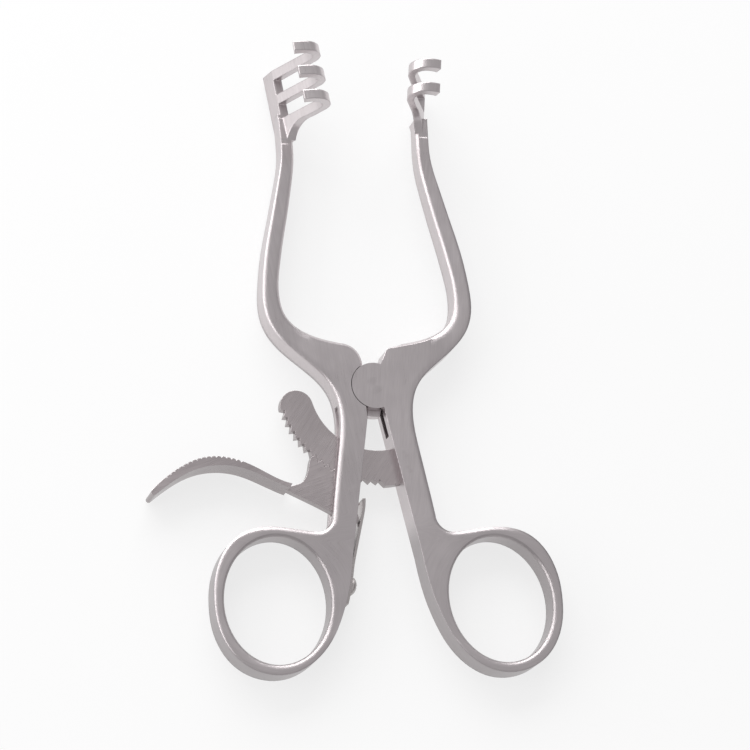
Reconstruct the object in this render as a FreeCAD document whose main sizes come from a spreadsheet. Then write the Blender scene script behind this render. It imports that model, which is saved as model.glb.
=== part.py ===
import FreeCAD, Part
import math
import os

V = FreeCAD.Vector
doc = FreeCAD.newDocument("retractor")

# Frame: the instrument lies flat. The pivot axis is the Z axis, the back faces
# lie at z = 0, the jaws point to +Y and the prongs stand up towards +Z.
# The left arm is on the -X side, the right arm on the +X side.

# Lengths are in millimetres and angles in degrees.
# Forgings: both arms, with the ring hole's centre as FINGER_ACROSS and FINGER_DOWN from the pivot.
ARM_THICK = 6.0
TIP_THICK = 4.6
TAPER_FROM = 14.0
BAY_BEVEL = 0.6
HOLE_BEVEL = 0.5
FINGER_WIDE = 23.6
FINGER_LONG = 28.2
FINGER_LEAN = 6.0
FINGER_ACROSS = 24.98
FINGER_DOWN = -48.3
# Box joint: the right arm's disc over the left arm's tongue
DISC_RADIUS = 5.25
RECESS_GAP = 0.15
TONGUE_RADIUS = 5.0
TONGUE_HEEL_RADIUS = 6.6
SLOT_WIDE = 2.2
PLATE_THICK = 2.0
PIN_RADIUS = 1.9
PIN_GAP = 0.05
# Ratchet: tips on TIP_RADIUS round the pivot, TOOTH_LEAN is the root's share of a pitch
TOOTH_PITCH = 4.68
TOOTH_COUNT = 17
FIRST_TOOTH = -166.13
TIP_RADIUS = 21.8
TOOTH_DEEP = 0.95
TOOTH_LEAN = 0.25
BAR_INNER_RADIUS = 14.4
TOOTH_BACKING = 0.6
BLANK_RADIUS = TIP_RADIUS + TOOTH_BACKING
INNER_RIVET_INSET = 2.3
OUTER_RIVET_INSET = 2.2
RIVET_RADIUS = 0.9
# Lever and pawl: the pawl meshes with PAWL_TEETH teeth, from tooth PAWL_FIRST on
PAWL_FIRST = 7
PAWL_TEETH = 4
MESH_GAP = 0.1
MESH_BACK = 0.04
LEVER_X = -7.0
LEVER_Y = -23.5
LEVER_PIN_RADIUS = 1.0
RIDGE_PITCH = 1.12
RIDGE_DEEP = 0.34
RIDGE_COUNT = 16
# Blade spring and its screw
SPRING_THICK = 0.6
SPRING_WIDE = 4.4
SCREW_HEAD_RADIUS = 2.0
SCREW_HEAD_HIGH = 1.35
SCREW_SHANK_RADIUS = 0.9
SCREW_SLOT_WIDE = 0.5
# Combs
PRONG_WIDE = 2.2
PRONG_PITCH = 5.8
COMB_TOP = 75.0
COMB_SHEAR = 0.13
SLOT_FLOOR = 4.8
COMB_FLARE = 3.2
OVER_HOOKS = 25.0
# The shanks end at the combs' foot. Above the shoulder they stretch when the comb moves up or down.
COMB_FOOT = COMB_TOP - 10.5
TAPER_TO = COMB_FOOT - 0.5
SHOULDER = 24.0
SHANK_DRAWN_TO = 64.5

# The features read the same sizes, in small letters, from a sheet.
sheet = doc.addObject("Spreadsheet::Sheet", "Sizes")
named = [(name, value) for name, value in sorted(globals().items()) if name.isupper()]
lengths = [(name.lower(), value) for name, value in named if isinstance(value, float)]
for row, (name, value) in enumerate(lengths, 1):
    sheet.set("A%d" % row, name)
    sheet.set("B%d" % row, repr(value))
    sheet.setAlias("B%d" % row, name)
doc.recompute()


def polar(radius, degrees):
    a = math.radians(degrees)
    return (radius * math.cos(a), radius * math.sin(a))


def new_body(name):
    body = doc.addObject("PartDesign::Body", name)
    body.Label = name
    return body


def plane_of(body, role):
    for feature in body.Origin.OriginFeatures:
        if feature.Role == role:
            return feature
    raise RuntimeError(role)


def new_sketch(body, name, role="XY_Plane", lift=None):
    sketch = body.newObject("Sketcher::SketchObject", name)
    sketch.AttachmentSupport = (plane_of(body, role), "")
    sketch.MapMode = "FlatFace"
    if lift is not None:
        sketch.AttachmentOffset = FreeCAD.Placement(V(0, 0, 0), FreeCAD.Rotation())
        sketch.setExpression("AttachmentOffset.Base.z", lift)
    return sketch


def line(a, b):
    return Part.LineSegment(V(a[0], a[1], 0), V(b[0], b[1], 0))


def arc(a, mid, b):
    return Part.Arc(V(a[0], a[1], 0), V(mid[0], mid[1], 0), V(b[0], b[1], 0))


def curve(points):
    spline = Part.BSplineCurve()
    spline.interpolate([V(p[0], p[1], 0) for p in points])
    return spline


def chain(points):
    return [line(points[i], points[i + 1]) for i in range(len(points) - 1)]


def closed(points):
    return chain(points + [points[0]])


def draw(sketch, pieces):
    for piece in pieces:
        sketch.addGeometry(piece, False)


def pad(body, sketch, length, name):
    feature = body.newObject("PartDesign::Pad", name)
    feature.Profile = sketch
    feature.setExpression("Length", length)
    doc.recompute()
    return feature


def pocket(body, sketch, length, name, both=False, through=False):
    feature = body.newObject("PartDesign::Pocket", name)
    feature.Profile = sketch
    if through:
        feature.Type = "ThroughAll"
    else:
        feature.setExpression("Length", length)
    if both:
        feature.SideType = "Symmetric"
    doc.recompute()
    return feature


def bevel_edges(body, wide, name, wanted):
    base = body.Tip
    picked = []
    for i, edge in enumerate(base.Shape.Edges):
        mid = edge.valueAt((edge.FirstParameter + edge.LastParameter) / 2.0)
        if wanted(edge, mid):
            picked.append("Edge%d" % (i + 1))
    feature = body.newObject("PartDesign::Chamfer", name)
    feature.Base = (base, picked)
    feature.setExpression("Size", wide)
    doc.recompute()
    return feature


def add_box_cut(body, name, low, high):
    sketch = new_sketch(body, name + "Sketch", "YZ_Plane")
    a, b = low, high
    draw(sketch, closed([(a[0], a[1]), (b[0], a[1]), (b[0], b[1]), (a[0], b[1])]))
    return pocket(body, sketch, None, name, both=True, through=True)


def layer_cut(body, name, pieces, bottom, depth):
    """Cuts a closed outline out of one layer, from bottom upwards."""
    sketch = new_sketch(body, name + "Sketch", "XY_Plane", bottom)
    draw(sketch, pieces)
    feature = body.newObject("PartDesign::Pocket", name)
    feature.Profile = sketch
    feature.setExpression("Length", depth)
    feature.Reversed = True
    doc.recompute()
    return feature


def near(rims):
    """Picks the front and back edges that lie over the given lines of the outline."""
    def wanted(edge, mid):
        flat = abs(edge.Vertexes[0].Z - edge.Vertexes[-1].Z) < 1.5
        level = min(abs(mid.z), abs(mid.z - ARM_THICK)) < 0.9
        if not flat or not level or edge.Length < 2.0:
            return False
        foot = Part.Vertex(V(mid.x, mid.y, 0))
        return min(foot.distToShape(rim)[0] for rim in rims) < 0.02
    return wanted


MID_LOW = "(Sizes.arm_thick - Sizes.slot_wide) / 2"
PLATE_LOW = "(Sizes.arm_thick - Sizes.plate_thick) / 2"
CHEEK = "(Sizes.arm_thick - Sizes.plate_thick) / 2"
PLATE_TOP = "(Sizes.arm_thick + Sizes.plate_thick) / 2"

# Half outline of an arm, right side, from the comb down to the ring and back.
SHANK_OUTSIDE = [
    (17.55, 64.5), (17.4, 60.0), (17.35, 56.0), (17.8, 52.0), (18.7, 48.0), (20.6, 40.0),
    (22.5, 32.0), (23.7, 24.0), (23.75, 17.5), (22.4, 13.4), (18.5, 8.6), (15.0, 5.6),
    (11.6, 2.5), (9.3, -1.0), (8.3, -5.0), (8.25, -9.0), (8.9, -14.0), (9.9, -20.0),
    (10.9, -26.0), (11.45, -29.6),
]
# The ring's rim, from its own centre, and the two points of the neck on either side of it.
NECK_OUTSIDE = [(11.45, -29.6), (12.3, -31.9)]
RING_RIM = [
    (-10.98, 15.15), (-7.98, 15.05), (-4.98, 15.5), (-0.98, 16.0), (3.52, 15.85), (7.52, 14.4),
    (10.42, 11.8), (12.52, 8.1), (13.67, 3.8), (13.92, -0.2), (13.57, -4.5), (12.42, -8.3),
    (10.22, -11.9), (7.02, -14.6), (3.82, -15.9), (0.42, -16.3), (-3.18, -15.65), (-6.68, -13.8),
    (-9.68, -11.0), (-12.08, -7.5), (-13.98, -3.3), (-15.38, 0.8),
]
NECK_INSIDE = [(8.45, -42.5), (7.75, -38.0)]
SHANK_INSIDE = [
    (6.95, 9.85), (10.9, 10.7), (14.9, 12.2), (17.7, 14.2), (19.5, 17.0), (20.15, 20.5),
    (20.1, 24.0), (19.5, 28.0), (18.75, 32.0), (17.0, 40.0), (15.4, 48.0), (14.75, 52.0),
    (14.5, 56.0), (14.6, 60.0), (14.7, 64.5),
]
NOTCH = {
    1: [(3.05, 7.75), (3.4, 8.4), (4.1, 8.85), (6.95, 9.85)],
    -1: [(-2.35, 4.9), (-2.5, 6.1), (-3.6, 8.3), (-5.0, 9.35), (-6.95, 9.85)],
}


RING_OUTSIDE = NECK_OUTSIDE + [(FINGER_ACROSS + p[0], FINGER_DOWN + p[1]) for p in RING_RIM] + NECK_INSIDE
HOOK_IN_END = (16.9, 19.15)
HOOK_OUT_START = (17.3, 21.0)


def mirrored(points, side):
    return [(side * p[0], p[1]) for p in points]


def shank(points):
    """The shank's points, longer or shorter above the shoulder as the comb's height asks."""
    stretch = (COMB_FOOT - SHOULDER) / (SHANK_DRAWN_TO - SHOULDER)
    return [(p[0], p[1] if p[1] <= SHOULDER else SHOULDER + (p[1] - SHOULDER) * stretch) for p in points]


def ring_hole(side):
    lean = math.radians(FINGER_LEAN)
    c = (side * FINGER_ACROSS, FINGER_DOWN)
    along = (-side * math.sin(lean), math.cos(lean))
    across = (math.cos(lean), side * math.sin(lean))
    long_half = FINGER_LONG / 2.0
    wide_half = FINGER_WIDE / 2.0
    top = V(c[0] + along[0] * long_half, c[1] + along[1] * long_half, 0)
    right = V(c[0] + across[0] * wide_half, c[1] + across[1] * wide_half, 0)
    return Part.Ellipse(top, right, V(c[0], c[1], 0))


def on_circle(radius, x, up):
    return (x, up * math.sqrt(radius * radius - x * x))


def arm_blank(body, side):
    """The flat forging: shank, handle and finger ring in one outline."""
    pieces = [
        curve(mirrored(shank(SHANK_OUTSIDE), side)),
        curve(mirrored(RING_OUTSIDE, side)),
    ]
    if side > 0:
        low = on_circle(DISC_RADIUS, 1.72, -1)
        top = on_circle(DISC_RADIUS, 1.75, 1)
        pieces += [
            line(RING_OUTSIDE[-1], low),
            arc(low, (-DISC_RADIUS, 0.0), top),
            line(top, NOTCH[side][0]),
            curve(NOTCH[side]),
        ]
    else:
        pieces += [
            line((-RING_OUTSIDE[-1][0], RING_OUTSIDE[-1][1]), (-1.8, -5.1)),
            line((-1.8, -5.1), NOTCH[side][0]),
            curve(NOTCH[side]),
        ]
    pieces.append(curve(mirrored(shank(SHANK_INSIDE), side)))
    pieces.append(line((side * SHANK_INSIDE[-1][0], COMB_FOOT), (side * SHANK_OUTSIDE[0][0], COMB_FOOT)))
    sketch = new_sketch(body, "Outline")
    draw(sketch, pieces)
    sketch.addGeometry(ring_hole(side), False)
    pad(body, sketch, "Sizes.arm_thick", "Blank")
    # front and back of the shank fall away gently towards the comb
    drop = (ARM_THICK - TIP_THICK) / 2.0
    t = ARM_THICK
    a, b = TAPER_FROM, TAPER_TO
    middle = (a + (b - a) / 2.0)
    for name, level, sign in (("TaperFront", t, -1), ("TaperBack", 0.0, 1)):
        taper = new_sketch(body, name + "Sketch", "YZ_Plane")
        falls = arc((a, level), (middle, level + sign * drop / 4.0), (b, level + sign * drop))
        out = level - sign * 3.0
        draw(taper, [falls] + chain([(b, level + sign * drop), (b + 8, out), (a, out), (a, level)]))
        pocket(body, taper, None, name, both=True, through=True)
    # broken edges round the bay between the arms and round the finger hole
    bay = [curve(mirrored(shank(SHANK_INSIDE), side)).toShape()]
    if side < 0:
        bay.append(curve(NOTCH[side]).toShape())
    bevel_edges(body, "Sizes.bay_bevel", "BayBevel", near(bay))
    bevel_edges(body, "Sizes.hole_bevel", "HoleBevel", near([ring_hole(side).toShape()]))


def comb_profile(side):
    """Section of a prong, across the instrument and towards the viewer."""
    root = (ARM_THICK - TIP_THICK) / 2.0
    outside = [(19.25, root), (18.3, SLOT_FLOOR), (13.05, 15.4)]
    hook_in = [(13.05, 15.4), (12.55, 17.0), (12.7, 18.7), (13.6, 19.6), (15.0, 19.75), HOOK_IN_END]
    hook_out = [
        HOOK_OUT_START, (15.6, 21.55), (13.6, 21.6), (11.8, 20.6), (10.8, 18.9), (10.75, 17.2), (11.45, 15.2),
    ]
    inside = [(11.45, 15.2), (16.35, SLOT_FLOOR), (17.2, root)]
    pieces = chain(mirrored(outside, side))
    pieces.append(curve(mirrored(hook_in, side)))
    pieces += chain(mirrored([HOOK_IN_END, HOOK_OUT_START], side))
    pieces.append(curve(mirrored(hook_out, side)))
    pieces += chain(mirrored(inside, side))
    pieces.append(line((side * 17.2, root), (side * 19.25, root)))
    return pieces


def comb(body, side, top, prongs):
    """Hooked prongs in a row, sheared a little so that they follow the shank."""
    lowest = top - (prongs - 1) * PRONG_PITCH - PRONG_WIDE
    bottom = lowest - COMB_FLARE
    sketch = new_sketch(body, "ProngSection", "XZ_Plane")
    shift = -side * COMB_SHEAR * (COMB_TOP - top)
    sketch.AttachmentOffset = FreeCAD.Placement(V(shift, 0, -top), FreeCAD.Rotation())
    draw(sketch, comb_profile(side))
    feature = body.newObject("PartDesign::Pad", "Comb")
    feature.Profile = sketch
    feature.UseCustomVector = True
    feature.Direction = V(-side * COMB_SHEAR, -1, 0)
    feature.AlongSketchNormal = True
    feature.setExpression(
        "Length", "%d * Sizes.prong_pitch + Sizes.prong_wide + Sizes.comb_flare" % (prongs - 1))
    doc.recompute()
    for i in range(prongs - 1):
        high = top - i * PRONG_PITCH - PRONG_WIDE
        low = top - (i + 1) * PRONG_PITCH
        add_box_cut(body, "CombSlot%d" % (i + 1), (low, SLOT_FLOOR), (high, OVER_HOOKS))
    # the lowest prong flares out of the shank in a hollow curve
    floor = (ARM_THICK + TIP_THICK) / 2.0 + 0.05
    sketch = new_sketch(body, "FlareSketch", "YZ_Plane")
    draw(sketch, [arc((bottom, floor), (lowest - 0.9, floor + 2.0), (lowest, floor + 6.5))])
    draw(sketch, chain([
        (lowest, floor + 6.5), (lowest, OVER_HOOKS), (bottom - 1.0, OVER_HOOKS), (bottom - 1.0, floor),
        (bottom, floor),
    ]))
    pocket(body, sketch, None, "CombFlare", both=True, through=True)


# Right arm: clevis cheeks that end in a round disc, two prongs.
right = new_body("right_arm")
arm_blank(right, 1)
comb(right, 1, COMB_TOP - PRONG_PITCH / 2.0, 2)
seat = TONGUE_RADIUS + 0.35
mouth = [
    arc((1.65, math.sqrt(seat ** 2 - 1.65 ** 2)), (seat, 0.0), polar(seat, -50.0)),
    line(polar(seat, -50.0), (4.35, -8.6)),
    arc((4.35, -8.6), (4.0, -10.4), (2.4, -11.2)),
] + chain([(2.4, -11.2), (-7.0, -13.0), (-7.0, 7.0), (1.6, 7.0), (1.65, math.sqrt(seat ** 2 - 1.65 ** 2))])
layer_cut(right, "ClevisSlot", mouth, MID_LOW, "Sizes.slot_wide")
TANG_TOP = (6.9, -math.sqrt(BAR_INNER_RADIUS ** 2 - 6.9 ** 2))
TANG_LOW = (8.1, -math.sqrt(BLANK_RADIUS ** 2 - 8.1 ** 2))
tang = [
    arc(polar(BAR_INNER_RADIUS, -95.0), polar(BAR_INNER_RADIUS, -80.0), TANG_TOP),
    line(TANG_TOP, TANG_LOW),
    arc(TANG_LOW, polar(BLANK_RADIUS, -80.0), polar(BLANK_RADIUS, -95.0)),
    line(polar(BLANK_RADIUS, -95.0), polar(BAR_INNER_RADIUS, -95.0)),
]
layer_cut(right, "RatchetSlot", tang, PLATE_LOW, "Sizes.plate_thick")
RIVETS = [
    polar(BAR_INNER_RADIUS + INNER_RIVET_INSET, -70.0),
    polar(BLANK_RADIUS - OUTER_RIVET_INSET, -71.5),
]


def drill(body, name, centres, radius):
    sketch = new_sketch(body, name + "Sketch")
    for c in centres:
        sketch.addGeometry(Part.Circle(V(c[0], c[1], 0), V(0, 0, 1), radius), False)
    feature = body.newObject("PartDesign::Pocket", name)
    feature.Profile = sketch
    feature.Type = "ThroughAll"
    feature.Reversed = True
    doc.recompute()
    return feature


drill(right, "RivetHoles", RIVETS, RIVET_RADIUS)
drill(right, "PinHole", [(0.0, 0.0)], PIN_RADIUS)

# Left arm: a tongue between the cheeks, shoulders round the disc, three prongs.
left = new_body("left_arm")
arm_blank(left, -1)
comb(left, -1, COMB_TOP, 3)
relief = DISC_RADIUS + RECESS_GAP
for name, low in (("FrontRecess", PLATE_TOP), ("BackRecess", None)):
    ring = [Part.Circle(V(0, 0, 0), V(0, 0, 1), relief)]
    sketch = new_sketch(left, name + "Sketch", "XY_Plane", low)
    draw(sketch, ring)
    feature = left.newObject("PartDesign::Pocket", name)
    feature.Profile = sketch
    feature.setExpression("Length", CHEEK)
    feature.Reversed = True
    doc.recompute()
tongue = new_sketch(left, "TongueSketch", "XY_Plane", PLATE_LOW)
r1, r2 = TONGUE_RADIUS, TONGUE_HEEL_RADIUS
draw(tongue, [
    arc(polar(r1, -72.0), polar(r1, 20.0), polar(r1, 110.0)),
    line(polar(r1, 110.0), (-4.5, 5.5)),
    line((-4.5, 5.5), (-5.5, -4.5)),
    line((-5.5, -4.5), polar(r2, -125.0)),
    arc(polar(r2, -125.0), polar(r2, -102.0), polar(r2, -79.0)),
    line(polar(r2, -79.0), polar(r1, -72.0)),
])
pad(left, tongue, "Sizes.plate_thick", "Tongue")
drill(left, "PinHole", [(0.0, 0.0)], PIN_RADIUS + PIN_GAP)
way = BAR_INNER_RADIUS - 0.7
lower = [
    arc(polar(way, -86.0), polar(way, -105.0), polar(way, -119.0)),
    curve([polar(way, -119.0), (-7.35, -8.0), (-7.9, -4.2)]),
] + chain([(-7.9, -4.2), (-14.0, -4.2), (-15.0, -30.6)]) + [
    arc((-15.0, -30.6), (-9.0, -31.9), (-3.5, -31.6)),
    line((-3.5, -31.6), polar(way, -86.0)),
]
layer_cut(left, "LeverSlot", lower, MID_LOW, "Sizes.slot_wide")
drill(left, "LeverPinHole", [(LEVER_X, LEVER_Y)], LEVER_PIN_RADIUS)

# Ratchet: a toothed arc that sits in a slot of the right arm.
def tip(k):
    return polar(TIP_RADIUS, FIRST_TOOTH + k * TOOTH_PITCH)


def root(k):
    angle = FIRST_TOOTH + (k + TOOTH_LEAN) * TOOTH_PITCH
    return polar(TIP_RADIUS - TOOTH_DEEP, angle)


ratchet = new_body("ratchet_bar")
sketch = new_sketch(ratchet, "ToothedArc", "XY_Plane", PLATE_LOW)
inner, blank = BAR_INNER_RADIUS, BLANK_RADIUS
end_top = (TANG_TOP[0] - 0.05, -math.sqrt(inner ** 2 - (TANG_TOP[0] - 0.05) ** 2))
end_low = (TANG_LOW[0] - 0.05, -math.sqrt(blank ** 2 - (TANG_LOW[0] - 0.05) ** 2))
last = TOOTH_COUNT - 1
teeth = []
for k in range(last, -1, -1):
    teeth.append(root(k))
    teeth.append(tip(k))
draw(sketch, [
    arc(tip(0), (-17.95, -0.8), polar(inner, -166.0)),
    arc(polar(inner, -166.0), polar(inner, -120.0), end_top),
    line(end_top, end_low),
    arc(end_low, polar(blank, -80.0), polar(blank, -86.6)),
    arc(polar(blank, -86.6), polar(21.55, -88.6), root(last)),
] + chain(teeth))
pad(ratchet, sketch, "Sizes.plate_thick", "Bar")
drill(ratchet, "RivetHoles", RIVETS, RIVET_RADIUS)

# Release lever: thumb plate, pawl plate and heel in one piece.
lever = new_body("release_lever")
THUMB_TOP = [
    (-20.2, -22.55), (-22.1, -22.0), (-27.0, -19.5), (-32.4, -17.15), (-36.6, -16.5),
    (-40.2, -16.95), (-44.7, -19.0), (-48.8, -22.0), (-51.2, -24.3),
]
THUMB_LOW = [
    (-50.4, -25.2), (-46.0, -21.95), (-40.5, -19.25), (-36.5, -18.55), (-31.5, -19.0),
    (-26.3, -21.0), (-20.8, -23.5),
]
thumb_top = curve(THUMB_TOP)
sketch = new_sketch(lever, "ThumbSection")
draw(sketch, [
    thumb_top,
    arc(THUMB_TOP[-1], (-51.25, -25.0), THUMB_LOW[0]),
    curve(THUMB_LOW),
    line(THUMB_LOW[-1], THUMB_TOP[0]),
])
pad(lever, sketch, "Sizes.arm_thick", "Thumb")
pawl = []
back = math.degrees(MESH_BACK / TIP_RADIUS)
for k in range(PAWL_FIRST, PAWL_FIRST + PAWL_TEETH):
    angle = FIRST_TOOTH + k * TOOTH_PITCH + back
    pawl.append(polar(TIP_RADIUS + MESH_GAP, angle))
    low_r = TIP_RADIUS - TOOTH_DEEP + MESH_GAP
    pawl.append(polar(low_r, angle + TOOTH_LEAN * TOOTH_PITCH))
end_angle = FIRST_TOOTH + (PAWL_FIRST + PAWL_TEETH) * TOOTH_PITCH + back
pawl.append(polar(TIP_RADIUS + MESH_GAP, end_angle))
clear = blank + 0.1
sketch = new_sketch(lever, "PawlOutline", "XY_Plane", PLATE_LOW)
draw(sketch, chain(pawl) + [
    line(pawl[-1], polar(clear, end_angle + 0.6)),
    arc(polar(clear, end_angle + 0.6), polar(clear, -109.0), polar(clear, -105.0)),
    curve([polar(clear, -105.0), (-5.9, -24.0), (-6.15, -26.8), (-5.5, -29.0), (-5.4, -30.1), (-6.0, -31.0)]),
    curve([(-6.0, -31.0), (-8.2, -30.2), (-11.6, -28.3), (-17.8, -25.05), (-21.3, -23.3)]),
    line((-21.3, -23.3), (-21.3, -22.6)),
    curve([(-21.3, -22.6), (-20.2, -22.6), (-18.8, -22.25), (-17.6, -21.8), (-16.5, -20.5),
           (-15.7, -18.3), (-15.35, -16.7), pawl[0]]),
])
pad(lever, sketch, "Sizes.plate_thick", "PawlPlate")
drill(lever, "PinHole", [(LEVER_X, LEVER_Y)], LEVER_PIN_RADIUS + PIN_GAP)
sketch = new_sketch(lever, "RidgeSection")
start = thumb_top.parameter(V(-31.2, -17.55, 0))
along = thumb_top.length(thumb_top.FirstParameter, start)
for i in range(RIDGE_COUNT + 1):
    at = thumb_top.parameterAtDistance(along + i * RIDGE_PITCH, thumb_top.FirstParameter)
    centre = thumb_top.value(at)
    run = thumb_top.tangent(at)[0]
    across = V(-run.y, run.x, 0)
    if across.y < 0:
        across = across * -1.0
    half = RIDGE_PITCH * 0.36
    corners = [
        centre + run * half + across * 0.25,
        centre - run * half + across * 0.25,
        centre - run * half * 0.55 - across * RIDGE_DEEP * 0.35,
        centre - across * RIDGE_DEEP,
        centre + run * half * 0.55 - across * RIDGE_DEEP * 0.35,
    ]
    draw(sketch, closed([(c.x, c.y) for c in corners]))
feature = lever.newObject("PartDesign::Pocket", "Ridges")
feature.Profile = sketch
feature.Type = "ThroughAll"
feature.Reversed = True
doc.recompute()


# Pins and rivets, hammered flush with the cheeks.
def pin(name, centre, radius, height, low=None):
    body = new_body(name)
    sketch = new_sketch(body, name + "Section", "XY_Plane", low)
    sketch.addGeometry(Part.Circle(V(centre[0], centre[1], 0), V(0, 0, 1), radius), False)
    pad(body, sketch, height, name + "Shank")
    return body


lock_pin = pin("lock_pin", (0.0, 0.0), PIN_RADIUS, "Sizes.arm_thick")
lever_pin = pin("lever_pin", (LEVER_X, LEVER_Y), LEVER_PIN_RADIUS, "Sizes.arm_thick")
rivet_a = pin("ratchet_rivet_inner", RIVETS[0], RIVET_RADIUS, "Sizes.arm_thick")
rivet_b = pin("ratchet_rivet_outer", RIVETS[1], RIVET_RADIUS, "Sizes.arm_thick")

# Leaf spring, screwed to the inner side of the left arm.
SPRING_LINE = [
    (-9.72, -49.1), (-9.22, -47.5), (-8.55, -44.7), (-8.07, -42.3), (-7.62, -40.0),
    (-7.05, -37.8), (-6.0, -33.9), (-4.9, -29.9), (-4.35, -27.6), (-4.15, -25.6),
]
spring = new_body("leaf_spring")
sketch = new_sketch(spring, "SpringSection", "XY_Plane", "(Sizes.arm_thick - Sizes.spring_wide) / 2")
middle = curve(SPRING_LINE)
half = SPRING_THICK / 2.0
sides = {1: [], -1: []}
for i in range(15):
    at = middle.FirstParameter + (middle.LastParameter - middle.FirstParameter) * i / 14.0
    p = middle.value(at)
    run = middle.tangent(at)[0]
    for sign in (1, -1):
        sides[sign].append((p.x + sign * half * run.y, p.y - sign * half * run.x))
draw(sketch, [
    curve(sides[1]),
    line(sides[1][-1], sides[-1][-1]),
    curve(sides[-1]),
    line(sides[-1][0], sides[1][0]),
])
pad(spring, sketch, "Sizes.spring_wide", "Strip")

# Screw: its axis stands square to the arm's inner side.
SCREW_FOOT = V(-8.21, -44.77, ARM_THICK / 2.0)
SCREW_TURN = FreeCAD.Rotation(V(0, 0, 1), -13.2)
SCREW_DEEP = 3.4


def screw_way(body, radius, name):
    hole = body.newObject("PartDesign::SubtractiveCylinder", name)
    hole.Radius = radius
    hole.Height = 6.0
    stand = FreeCAD.Rotation(V(0, 1, 0), 90.0)
    start = SCREW_FOOT + SCREW_TURN.multVec(V(-SCREW_DEEP, 0, 0))
    hole.Placement = FreeCAD.Placement(start, SCREW_TURN.multiply(stand))
    doc.recompute()
    return hole


screw_way(left, SCREW_SHANK_RADIUS, "ScrewHole")
screw_way(spring, SCREW_SHANK_RADIUS, "ScrewHole")
screw = new_body("spring_screw")
sketch = new_sketch(screw, "ScrewSection")
head, high = SCREW_HEAD_RADIUS, SCREW_HEAD_HIGH
neck = SCREW_SHANK_RADIUS
draw(sketch, [
    line((-SCREW_DEEP, 0.0), (-SCREW_DEEP, neck)),
    line((-SCREW_DEEP, neck), (0.0, neck)),
    line((0.0, neck), (0.0, head)),
    line((0.0, head), (0.45, head)),
    arc((0.45, head), (high - 0.3, head * 0.68), (high, 0.0)),
    line((high, 0.0), (-SCREW_DEEP, 0.0)),
])
turned = screw.newObject("PartDesign::Revolution", "Turned")
turned.Profile = sketch
turned.ReferenceAxis = (sketch, ["H_Axis"])
turned.Angle = 360.0
doc.recompute()
wide = SCREW_SLOT_WIDE / 2.0
sketch = new_sketch(screw, "SlotSection", "XY_Plane")
draw(sketch, closed([(high - 0.65, -wide), (high + 1.0, -wide), (high + 1.0, wide), (high - 0.65, wide)]))
pocket(screw, sketch, None, "DriverSlot", both=True, through=True)
screw.Placement = FreeCAD.Placement(SCREW_FOOT, SCREW_TURN)
doc.recompute()

NODES = [left, right, lock_pin, ratchet, rivet_a, rivet_b, lever, lever_pin, spring, screw]
bad = [o.Name for o in doc.Objects if "Invalid" in o.State or "Error" in o.State]
if bad:
    raise RuntimeError("not built: %s" % bad)
os.makedirs("parts", exist_ok=True)
for body in NODES:
    shape = body.Shape
    if shape.isNull() or not shape.isValid() or len(shape.Solids) != 1:
        raise RuntimeError("no single valid solid: %s" % body.Label)
    shape.exportStep("parts/%s.step" % body.Label)
    box = shape.BoundBox
    print(body.Label, round(shape.Volume, 2), [round(v, 2) for v in (
        box.XMin, box.XMax, box.YMin, box.YMax, box.ZMin, box.ZMax)])
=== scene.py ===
import math

import bpy
from mathutils import Matrix, Vector


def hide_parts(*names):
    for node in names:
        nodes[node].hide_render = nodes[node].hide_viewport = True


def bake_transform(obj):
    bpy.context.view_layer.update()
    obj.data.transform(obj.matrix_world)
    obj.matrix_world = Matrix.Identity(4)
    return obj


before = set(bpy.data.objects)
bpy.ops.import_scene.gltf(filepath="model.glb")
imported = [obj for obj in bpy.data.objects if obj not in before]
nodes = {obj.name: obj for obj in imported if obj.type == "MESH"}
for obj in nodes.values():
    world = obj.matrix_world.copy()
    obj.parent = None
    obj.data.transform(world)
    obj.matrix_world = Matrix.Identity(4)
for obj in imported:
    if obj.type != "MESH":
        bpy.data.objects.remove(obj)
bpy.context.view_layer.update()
MM = 0.001

# The finger rings: their centres, the middle of the hoop and the neck where the shank runs into it
RING_ACROSS = 24.98 * MM
RING_DOWN = -48.3 * MM
RING_RADIUS = 14.0 * MM
NECK_HIGH = -29.0 * MM
NECK_LOW = -36.0 * MM

# Pins ground flush: across, along and how far from the axis the ground face reaches, in millimetres
FLUSH_PINS = {
    "lock_pin": (0.0, 0.0, 6.3),
    "lever_pin": (-7.0, -23.5, 1.8),
    "ratchet_rivet_inner": (5.71, -15.69, 1.7),
    "ratchet_rivet_outer": (6.41, -19.16, 1.7),
}

# Grain of the steel: grinding lines to the metre, the broad ones as a share of that, and the patches
# that handling leaves. Line length is below 1, which draws the lines out.
LINE_SCALE = 6500.0
CLOSE_LINE_SCALE = 7500.0
BROAD_LINES = 0.24
LINE_LENGTH = 0.035
PATCH_SCALE = 95.0
# The part of the grain's range that becomes the whole of the tones, and of the roughness
TONE_LOW, TONE_HIGH = 0.34, 0.66
GLOSS_LOW, GLOSS_HIGH = 0.36, 0.64
# Roughness of the smoothest and the roughest spots, the lines' relief and how they stretch a highlight
SMOOTH, ROUGH = 0.27, 0.36
RELIEF = 0.12
RELIEF_HEIGHT = 0.04 * MM
STRETCH = 0.35

# Painted shade on the side faces: how level a face still is where the painted shade starts and where
# it is full, and how much darker it paints the colour
PAINTED_SHADE_STARTS, PAINTED_SHADE_FULL = 0.9, 0.6
PAINTED_SHADE_DEPTH = 0.38

# Radii of the edges: on small pieces, sharper on the ratchet and the lever, and on the arms a small one
# and a large one
BROKEN_EDGE = 0.1 * MM
FILED_EDGE = 0.05 * MM
ARM_EDGE = 0.2 * MM
ARM_ROUNDING = 2.2 * MM
BEVEL_SAMPLES = 8
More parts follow.
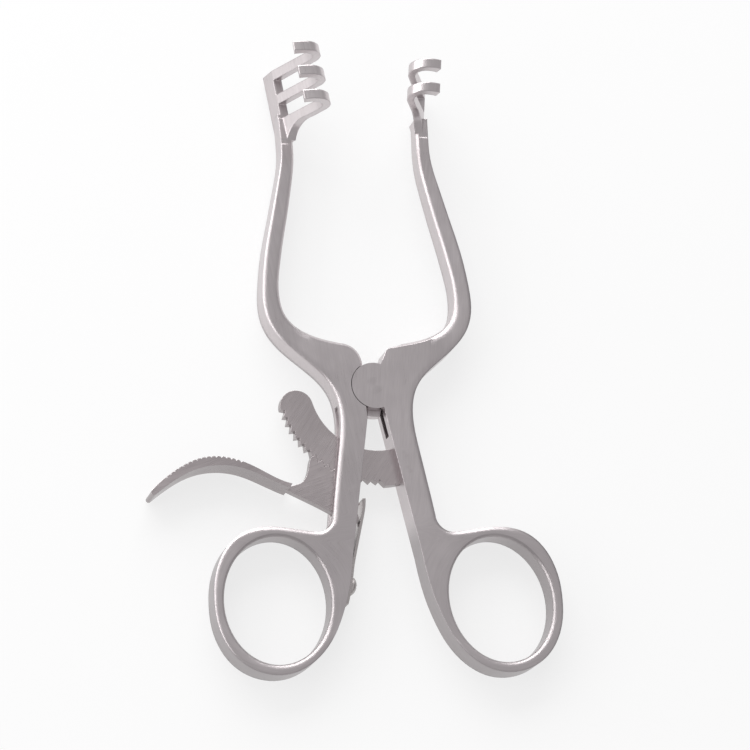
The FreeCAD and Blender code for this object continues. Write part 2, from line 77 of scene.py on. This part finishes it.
# Where the arms have the larger radius: outside a line that leans out from near the pivot, and above the
# bay of the joint. It fades towards the combs and is less on the rings.
MIDDLE_OFF = 5.0 * MM
LOWER_LEAN, UPPER_LEAN = -0.146, 0.8
OUTER_FADE = 1.0 * MM
BAY_LOW, BAY_HIGH = 11.0 * MM, 16.0 * MM
COMB_STARTS, COMB_FULL = 14.0 * MM, 58.0 * MM
COMB_KEEPS = 0.1
RING_LOSES = 0.40

# A piece without a ring takes a centre so far off that lines round it would run straight
NO_RING = (0.0, 10.0, 0.0)

# Sockets of a mix node for each kind of value: first, second and result
MIX_SOCKETS = {"FLOAT": (2, 3, 0), "VECTOR": (4, 5, 1), "RGBA": (6, 7, 2)}


# Node trees
def add(tree, kind, label=None, **values):
    """Makes a node and sets its own properties, such as operation or data_type."""
    node = tree.nodes.new(kind)
    if label:
        node.label = label
    for key, value in values.items():
        setattr(node, key, value)
    return node


def put(node, **values):
    """Sets unlinked input sockets by name, with underscores for spaces."""
    for key, value in values.items():
        node.inputs[key.replace("_", " ")].default_value = value
    return node


def join(tree, source, target):
    tree.links.new(source, target)


def feed(tree, value, socket):
    """Joins another node's output to the socket, or sets a plain value on it."""
    if hasattr(value, "is_output"):
        join(tree, value, socket)
    else:
        socket.default_value = value


def math_node(tree, operation, first, second=None):
    node = add(tree, "ShaderNodeMath", operation=operation)
    feed(tree, first, node.inputs[0])
    if second is not None:
        feed(tree, second, node.inputs[1])
    return node.outputs[0]


def weighed(tree, *pairs):
    """Adds the values up, each times its share."""
    total = None
    for value, share in pairs:
        part = math_node(tree, "MULTIPLY", value, share)
        total = part if total is None else math_node(tree, "ADD", total, part)
    return total


def span(tree, label, value, low, high, to_low=0.0, to_high=1.0, curve="LINEAR"):
    """Maps low to high onto to_low to to_high, and holds the ends."""
    node = add(tree, "ShaderNodeMapRange", label, interpolation_type=curve)
    feed(tree, value, node.inputs["Value"])
    feed(tree, low, node.inputs["From Min"])
    feed(tree, high, node.inputs["From Max"])
    feed(tree, to_low, node.inputs["To Min"])
    feed(tree, to_high, node.inputs["To Max"])
    return node.outputs["Result"]


def mix(tree, label, kind, share, first, second):
    node = add(tree, "ShaderNodeMix", label, data_type=kind)
    at_first, at_second, result = MIX_SOCKETS[kind]
    join(tree, share, node.inputs["Factor"])
    join(tree, first, node.inputs[at_first])
    join(tree, second, node.inputs[at_second])
    return node.outputs[result]


def split(tree, vector):
    node = add(tree, "ShaderNodeSeparateXYZ")
    join(tree, vector, node.inputs[0])
    return node.outputs["X"], node.outputs["Y"], node.outputs["Z"]


def gather(tree, label, x, y, z=0.0):
    node = add(tree, "ShaderNodeCombineXYZ", label)
    for value, socket in zip((x, y, z), node.inputs):
        feed(tree, value, socket)
    return node.outputs[0]


def vector_node(tree, label, operation, first, second=None):
    node = add(tree, "ShaderNodeVectorMath", label, operation=operation)
    join(tree, first, node.inputs[0])
    if second is not None:
        feed(tree, second, node.inputs[1])
    return node


def noise(tree, label, vector, scale, detail, roughness):
    node = put(add(tree, "ShaderNodeTexNoise", label), Detail=detail, Roughness=roughness)
    join(tree, vector, node.inputs["Vector"])
    feed(tree, scale, node.inputs["Scale"])
    return node.outputs[0]


def grain_lines(tree, enter, below):
    """Where the lines run: along Y on the shanks, and round the ring below the neck."""
    length = enter.outputs["Line Length"]
    turned = add(tree, "ShaderNodeVectorRotate", "grain direction", rotation_type="Z_AXIS")
    join(tree, enter.outputs["Position"], turned.inputs["Vector"])
    join(tree, enter.outputs["Turn"], turned.inputs["Angle"])
    x, y, z = split(tree, turned.outputs[0])
    shank = gather(tree, "shank lines", x, math_node(tree, "MULTIPLY", y, length), z)

    away = vector_node(tree, "from the ring centre", "SUBTRACT", enter.outputs["Position"],
                       enter.outputs["Ring Centre"])
    x, y, z = split(tree, away.outputs[0])
    arc = math_node(tree, "MULTIPLY", math_node(tree, "ARCTAN2", y, x), RING_RADIUS)
    arc = math_node(tree, "MULTIPLY", arc, length)
    reach = vector_node(tree, "ring radius", "LENGTH", gather(tree, "in the ring's plane", x, y))
    hoop = gather(tree, "ring lines", reach.outputs["Value"], arc, z)
    return mix(tree, "line direction", "VECTOR", below, shank, hoop)


def painted_wall_shade(tree, enter, below):
    """Painted shade: how much darker the side faces are painted than the ground fronts.

    It works on the rings, and all over a piece whose input asks for it everywhere.
    """
    normal = add(tree, "ShaderNodeNewGeometry").outputs["Normal"]
    facing = math_node(tree, "ABSOLUTE", split(tree, normal)[2])
    wall = span(tree, "side wall", facing, PAINTED_SHADE_STARTS, PAINTED_SHADE_FULL)
    where = math_node(tree, "MAXIMUM", below, enter.outputs["Walls All Over"])
    where = math_node(tree, "MULTIPLY", where, wall)
    return math_node(tree, "MULTIPLY", where, enter.outputs["Wall Depth"])


def edge_radius(tree, enter, below, x, y):
    """Rounds the outer edges of the lower shanks and all edges above, less on rings and combs."""
    lean = math_node(tree, "MAXIMUM", math_node(tree, "MULTIPLY", y, LOWER_LEAN),
                     math_node(tree, "MULTIPLY", y, UPPER_LEAN))
    middle = math_node(tree, "ADD", lean, MIDDLE_OFF)
    past_middle = math_node(tree, "SUBTRACT", math_node(tree, "ABSOLUTE", x), middle)
    beyond = span(tree, "outer half", past_middle, 0.0, OUTER_FADE)
    above = span(tree, "above the bay", y, BAY_LOW, BAY_HIGH)
    soft = math_node(tree, "MAXIMUM", beyond, above)
    ring = math_node(tree, "SUBTRACT", 1.0, math_node(tree, "MULTIPLY", below, RING_LOSES))
    comb = span(tree, "towards the comb", y, COMB_STARTS, COMB_FULL, 1.0, COMB_KEEPS)
    soft = math_node(tree, "MULTIPLY", math_node(tree, "MULTIPLY", soft, ring), comb)
    radius = mix(tree, "edge radius", "FLOAT", soft, enter.outputs["Edge Radius"],
                 enter.outputs["Soft Edge Radius"])
    # the pins are ground flush, so no edge shows round them
    level = gather(tree, "in the plane", x, y)
    for pin, (across, along, ground) in FLUSH_PINS.items():
        centre = (across * MM, along * MM, 0.0)
        distance = vector_node(tree, "from the " + pin, "DISTANCE", level, centre)
        clear = math_node(tree, "GREATER_THAN", distance.outputs["Value"], ground * MM)
        radius = math_node(tree, "MULTIPLY", radius, clear)
    return radius


def grain_group():
    """Brushed steel: fine lines, cloudy handling patches, painted shade on side faces and hand rounded
    edges.
    """
    tree = bpy.data.node_groups.new("brushed_steel", "ShaderNodeTree")
    wants = [
        ("Position", "NodeSocketVector", (0.0, 0.0, 0.0)),
        ("Ring Centre", "NodeSocketVector", NO_RING),
        ("Turn", "NodeSocketFloat", 0.0),
        ("Line Scale", "NodeSocketFloat", LINE_SCALE),
        ("Line Length", "NodeSocketFloat", LINE_LENGTH),
        ("Pale", "NodeSocketColor", (0.66, 0.62, 0.62, 1.0)),
        ("Deep", "NodeSocketColor", (0.50, 0.46, 0.46, 1.0)),
        ("Smooth", "NodeSocketFloat", SMOOTH),
        ("Rough", "NodeSocketFloat", ROUGH),
        ("Relief", "NodeSocketFloat", RELIEF),
        ("Edge Radius", "NodeSocketFloat", BROKEN_EDGE),
        ("Soft Edge Radius", "NodeSocketFloat", BROKEN_EDGE),
        ("Wall Depth", "NodeSocketFloat", PAINTED_SHADE_DEPTH),
        ("Walls All Over", "NodeSocketFloat", 0.0),
    ]
    for name, kind, default in wants:
        socket = tree.interface.new_socket(name, in_out="INPUT", socket_type=kind)
        socket.default_value = default
    tree.interface.new_socket("Color", in_out="OUTPUT", socket_type="NodeSocketColor")
    tree.interface.new_socket("Roughness", in_out="OUTPUT", socket_type="NodeSocketFloat")
    tree.interface.new_socket("Normal", in_out="OUTPUT", socket_type="NodeSocketVector")
    enter = add(tree, "NodeGroupInput")
    leave = add(tree, "NodeGroupOutput")

    place = enter.outputs["Position"]
    x, y = split(tree, place)[:2]
    below = span(tree, "below the neck", y, NECK_HIGH, NECK_LOW, curve="SMOOTHSTEP")
    lines = grain_lines(tree, enter, below)
    line_scale = enter.outputs["Line Scale"]
    broad_scale = math_node(tree, "MULTIPLY", line_scale, BROAD_LINES)
    fine = noise(tree, "fine lines", lines, line_scale, detail=3.0, roughness=0.6)
    broad = noise(tree, "broad lines", lines, broad_scale, detail=2.0, roughness=0.5)
    cloud = noise(tree, "handling patches", place, PATCH_SCALE, detail=3.0, roughness=0.55)

    lined = weighed(tree, (fine, 0.5), (broad, 0.3), (cloud, 0.2))
    tone = span(tree, "tone", lined, TONE_LOW, TONE_HIGH)
    colour = mix(tree, "steel tone", "RGBA", tone, enter.outputs["Deep"], enter.outputs["Pale"])
    # painted shade: the colour is darkened on the side faces
    painted_shade_colour = vector_node(tree, "painted wall shade", "SCALE", colour)
    kept = math_node(tree, "SUBTRACT", 1.0, painted_wall_shade(tree, enter, below))
    join(tree, kept, painted_shade_colour.inputs["Scale"])
    join(tree, painted_shade_colour.outputs[0], leave.inputs["Color"])

    handled = weighed(tree, (cloud, 0.6), (fine, 0.4))
    rough = span(tree, "roughness", handled, GLOSS_LOW, GLOSS_HIGH, enter.outputs["Smooth"],
                 enter.outputs["Rough"])
    join(tree, rough, leave.inputs["Roughness"])

    rounded = add(tree, "ShaderNodeBevel", "rounded edges", samples=BEVEL_SAMPLES)
    join(tree, edge_radius(tree, enter, below, x, y), rounded.inputs["Radius"])
    bump = put(add(tree, "ShaderNodeBump", "line relief"), Distance=RELIEF_HEIGHT)
    join(tree, enter.outputs["Relief"], bump.inputs["Strength"])
    join(tree, weighed(tree, (fine, 0.6), (broad, 0.4)), bump.inputs["Height"])
    join(tree, rounded.outputs["Normal"], bump.inputs["Normal"])
    join(tree, bump.outputs["Normal"], leave.inputs["Normal"])
    return tree


GRAIN = grain_group()


def steel(name, pale, deep, smooth=SMOOTH, rough=ROUGH, turn=0.0, scale=LINE_SCALE, ring=NO_RING,
          edge=BROKEN_EDGE, soft_edge=BROKEN_EDGE, painted_shade_everywhere=0.0):
    """A stainless steel finish. turn is the direction of its lines in degrees from +Y."""
    material = bpy.data.materials.new(name)
    material.use_nodes = True
    tree = material.node_tree
    shader = put(tree.nodes["Principled BSDF"], Metallic=1.0, Anisotropic=STRETCH)
    where = add(tree, "ShaderNodeTexCoord")
    grain = add(tree, "ShaderNodeGroup", "grain", node_tree=GRAIN)
    put(grain, Ring_Centre=ring, Turn=math.radians(turn), Line_Scale=scale, Line_Length=LINE_LENGTH,
        Pale=pale + (1.0,), Deep=deep + (1.0,), Smooth=smooth, Rough=rough, Relief=RELIEF,
        Edge_Radius=edge, Soft_Edge_Radius=soft_edge, Wall_Depth=PAINTED_SHADE_DEPTH, Walls_All_Over=painted_shade_everywhere)
    join(tree, where.outputs["Object"], grain.inputs["Position"])
    join(tree, grain.outputs["Color"], shader.inputs["Base Color"])
    join(tree, grain.outputs["Roughness"], shader.inputs["Roughness"])
    join(tree, grain.outputs["Normal"], shader.inputs["Normal"])
    return material


ARM_PALE = (0.662, 0.617, 0.625)
ARM_DEEP = (0.572, 0.530, 0.538)
FINISHES = {
    "left_arm": steel("satin_left_arm", ARM_PALE, ARM_DEEP, turn=-8.0,
                      ring=(-RING_ACROSS, RING_DOWN, 0.0), edge=ARM_EDGE, soft_edge=ARM_ROUNDING),
    "right_arm": steel("satin_right_arm", ARM_PALE, ARM_DEEP, turn=8.0,
                       ring=(RING_ACROSS, RING_DOWN, 0.0), edge=ARM_EDGE, soft_edge=ARM_ROUNDING),
    # the ratchet and the lever take the painted shade on every side face
    "ratchet_bar": steel("ground_ratchet", (0.64, 0.585, 0.592), (0.53, 0.48, 0.487), smooth=0.22,
                         rough=0.34, turn=35.0, scale=CLOSE_LINE_SCALE, edge=FILED_EDGE, painted_shade_everywhere=1.0),
    "release_lever": steel("satin_lever", (0.64, 0.585, 0.592), (0.52, 0.47, 0.478), smooth=0.22,
                           rough=0.38, turn=70.0, edge=FILED_EDGE, painted_shade_everywhere=1.0),
    "leaf_spring": steel("rolled_spring", (0.62, 0.58, 0.575), (0.50, 0.46, 0.455), smooth=0.18,
                         rough=0.30, turn=-14.0, scale=CLOSE_LINE_SCALE),
    "spring_screw": steel("turned_screw", (0.68, 0.645, 0.635), (0.56, 0.525, 0.515), smooth=0.18,
                          rough=0.30, turn=80.0, scale=CLOSE_LINE_SCALE),
    "lock_pin": steel("ground_pin", ARM_PALE, ARM_DEEP, turn=8.0, edge=0.0),
    "lever_pin": steel("ground_pin_small", ARM_PALE, ARM_DEEP, turn=-8.0, edge=0.0),
    "ratchet_rivet_inner": steel("ground_rivet", ARM_PALE, ARM_DEEP, turn=8.0),
    "ratchet_rivet_outer": steel("ground_rivet_low", ARM_PALE, ARM_DEEP, turn=8.0),
}
for name, material in FINISHES.items():
    for slot in nodes[name].material_slots:
        slot.material = material


# The spring's blade as a piece of its own: a copy of the spring, merged and cut once more, with the
# spring itself hidden
MERGE_WITHIN = 0.001 * MM


def bending_spring():
    node = nodes["leaf_spring"]
    piece = bpy.data.objects.new("spring_blade", node.data.copy())
    bpy.context.scene.collection.objects.link(piece)
    piece.matrix_world = node.matrix_world
    bpy.ops.object.select_all(action="DESELECT")
    bpy.context.view_layer.objects.active = piece
    piece.select_set(True)
    bpy.ops.object.transform_apply(location=True, rotation=True, scale=True)
    bpy.ops.object.mode_set(mode="EDIT")
    bpy.ops.mesh.select_all(action="SELECT")
    bpy.ops.mesh.remove_doubles(threshold=MERGE_WITHIN)
    bpy.ops.mesh.subdivide(number_cuts=1)
    bpy.ops.object.mode_set(mode="OBJECT")
    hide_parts("leaf_spring")
    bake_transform(piece)


bending_spring()

# Stage: a plain white table just under the instrument
TABLE_SIDE = 6.0
TABLE_DROP = 0.4 * MM
TABLE_WHITE = (0.96, 0.96, 0.96, 1.0)
TABLE_GLOW = 0.72


def stage_floor():
    bpy.ops.mesh.primitive_plane_add(size=TABLE_SIDE, location=(0.0, 0.0, -TABLE_DROP))
    floor = bpy.context.object
    floor.name = "table"
    material = bpy.data.materials.new("white_table")
    material.use_nodes = True
    tree = material.node_tree
    shader = put(tree.nodes["Principled BSDF"], Base_Color=TABLE_WHITE, Roughness=0.9)
    # the table shows white to the eye and in the steel, and keeps some of the shadow
    rays = add(tree, "ShaderNodeLightPath")
    seen = math_node(tree, "MAXIMUM", rays.outputs["Is Camera Ray"], rays.outputs["Is Glossy Ray"])
    seen = math_node(tree, "MAXIMUM", seen, rays.outputs["Is Transmission Ray"])
    white = put(add(tree, "ShaderNodeEmission"), Color=(1.0, 1.0, 1.0, 1.0), Strength=1.0)
    blend = add(tree, "ShaderNodeMixShader", "white table")
    join(tree, math_node(tree, "MULTIPLY", seen, TABLE_GLOW), blend.inputs[0])
    join(tree, shader.outputs[0], blend.inputs[1])
    join(tree, white.outputs[0], blend.inputs[2])
    join(tree, blend.outputs[0], tree.nodes["Material Output"].inputs["Surface"])
    floor.data.materials.append(material)


stage_floor()

# Light: a grey room, a low window on the left and one behind the combs, both facing the pivot.
# Each window has its name, place, width and height in metres, and power in watts.
ROOM_GREY = (0.50, 0.495, 0.50, 1.0)
WINDOWS = (
    ("left_window", (-0.95, 0.15, 0.26), (1.5, 0.55), 6.5),
    ("back_window", (-0.25, 1.10, 0.55), (1.5, 0.9), 15.0),
)


def soft_light(name, place, size, power):
    data = bpy.data.lights.new(name, "AREA")
    data.shape = "RECTANGLE"
    data.size, data.size_y = size
    data.energy = power
    lamp = bpy.data.objects.new(name, data)
    bpy.context.scene.collection.objects.link(lamp)
    lamp.location = place
    lamp.rotation_mode = "QUATERNION"
    lamp.rotation_quaternion = (-Vector(place)).to_track_quat("-Z", "Y")


world = bpy.data.worlds.new("studio")
bpy.context.scene.world = world
world.use_nodes = True
put(world.node_tree.nodes["Background"], Color=ROOM_GREY, Strength=1.0)
for window in WINDOWS:
    soft_light(*window)

# Camera at the viewing angle of the photograph, given by its own axes in the object's frame
VIEW_INTO = Vector((0.276, 0.309, -0.910)).normalized()
VIEW_UP = Vector((-0.015, 0.948, 0.318))
CAMERA_PLACE = Vector((-179.4, -198.7, 598.2)) * MM
LENS = 141.96
SENSOR_WIDTH = 36.0
CLIP_NEAR, CLIP_FAR = 0.02, 20.0


def make_camera():
    data = bpy.data.cameras.new("camera")
    data.sensor_width = SENSOR_WIDTH
    data.lens = LENS
    data.clip_start, data.clip_end = CLIP_NEAR, CLIP_FAR
    camera = bpy.data.objects.new("camera", data)
    bpy.context.scene.collection.objects.link(camera)
    across = VIEW_INTO.cross(VIEW_UP).normalized()
    up = across.cross(VIEW_INTO).normalized()
    turn = Matrix((across, up, -VIEW_INTO)).transposed().to_4x4()
    camera.matrix_world = Matrix.Translation(CAMERA_PLACE) @ turn
    bpy.context.scene.camera = camera


make_camera()
bpy.context.scene.view_settings.view_transform = "Standard"
